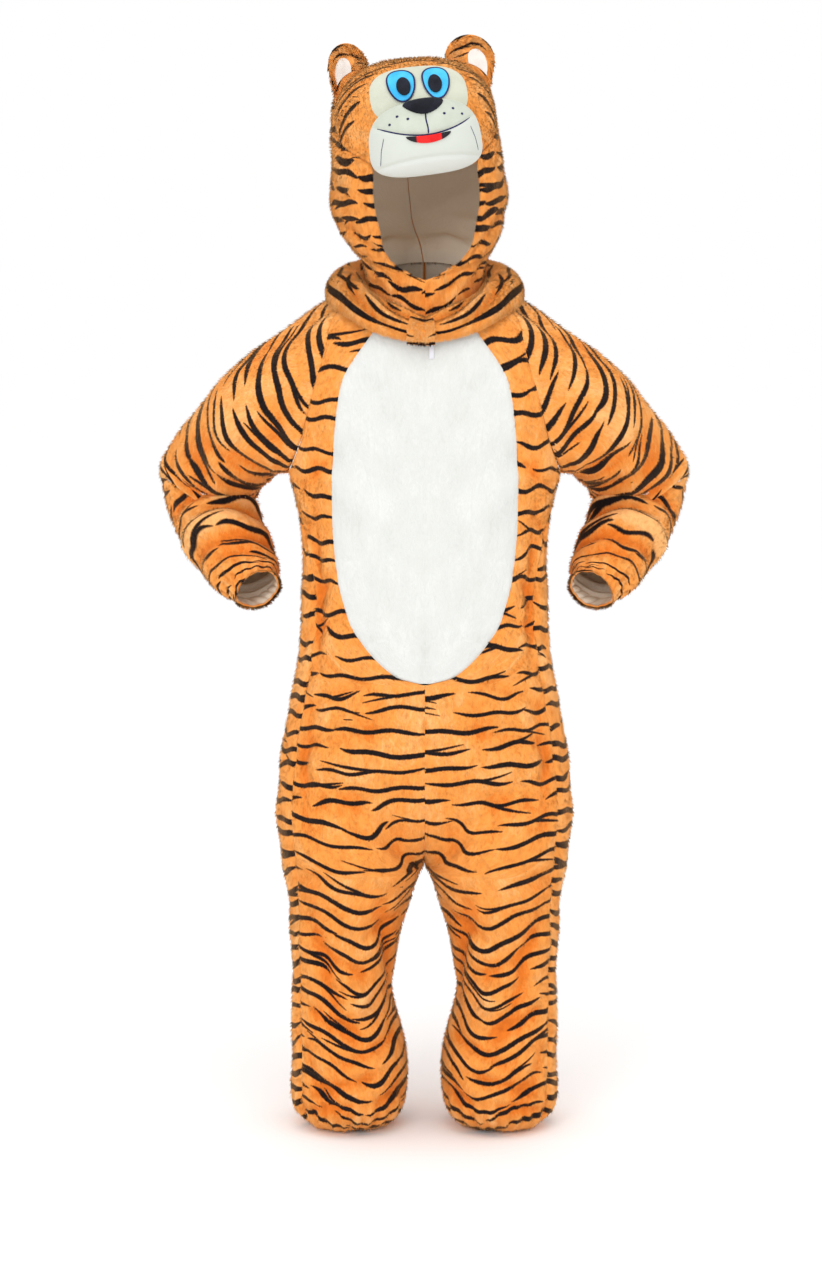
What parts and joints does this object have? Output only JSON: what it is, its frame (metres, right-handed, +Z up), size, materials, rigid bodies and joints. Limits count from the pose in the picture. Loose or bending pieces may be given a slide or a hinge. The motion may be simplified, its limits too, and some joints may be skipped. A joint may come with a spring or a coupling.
{
  "type": "animal costume jumpsuit",
  "caption": "Child's plush tiger all-in-one costume with raglan sleeves, a cream belly, gathered cuffs and hems, and a hood with a stuffed tiger face and ears.",
  "frame": {"origin": "middle of the neck opening, at the height of the shoulder line, where the wearer's neck and shoulders hold the suit", "axes": "-Y is the suit's front, +Z is up, and +X is the wearer's left"},
  "size_m": [0.5994, 0.3225, 1.2054],
  "materials": {
    "tiger_plush": "short orange plush with black stripes",
    "cream_plush": "short off-white plush",
    "cream_felt": "smooth cream fleece",
    "ear_lining": "smooth beige fleece",
    "blue_felt": "smooth blue fleece",
    "black_felt": "smooth black fleece",
    "red_felt": "smooth red fleece",
    "zip_tape": "woven tape"
  },
  "bodies": {
    "root": {"belly_left": "cream_plush", "belly_right": "cream_plush", "front_left": "tiger_plush", "front_right": "tiger_plush", "back_left": "tiger_plush", "back_right": "tiger_plush", "sleeve_left": "tiger_plush", "sleeve_right": "tiger_plush", "collar_left": "tiger_plush", "collar_right": "tiger_plush", "neck_tab": "tiger_plush", "zip_end": "zip_tape", "hood_left": "tiger_plush", "hood_right": "tiger_plush", "hood_forehead": "tiger_plush", "ear_left": "tiger_plush", "ear_right": "tiger_plush", "ear_lining_left": "ear_lining", "ear_lining_right": "ear_lining", "muzzle": "cream_felt", "brow_patch": "cream_felt", "eye_left": "blue_felt", "eye_right": "blue_felt", "pupil_left": "black_felt", "pupil_right": "black_felt", "nose": "black_felt", "mouth": "red_felt"}
  },
  "joints": []
}
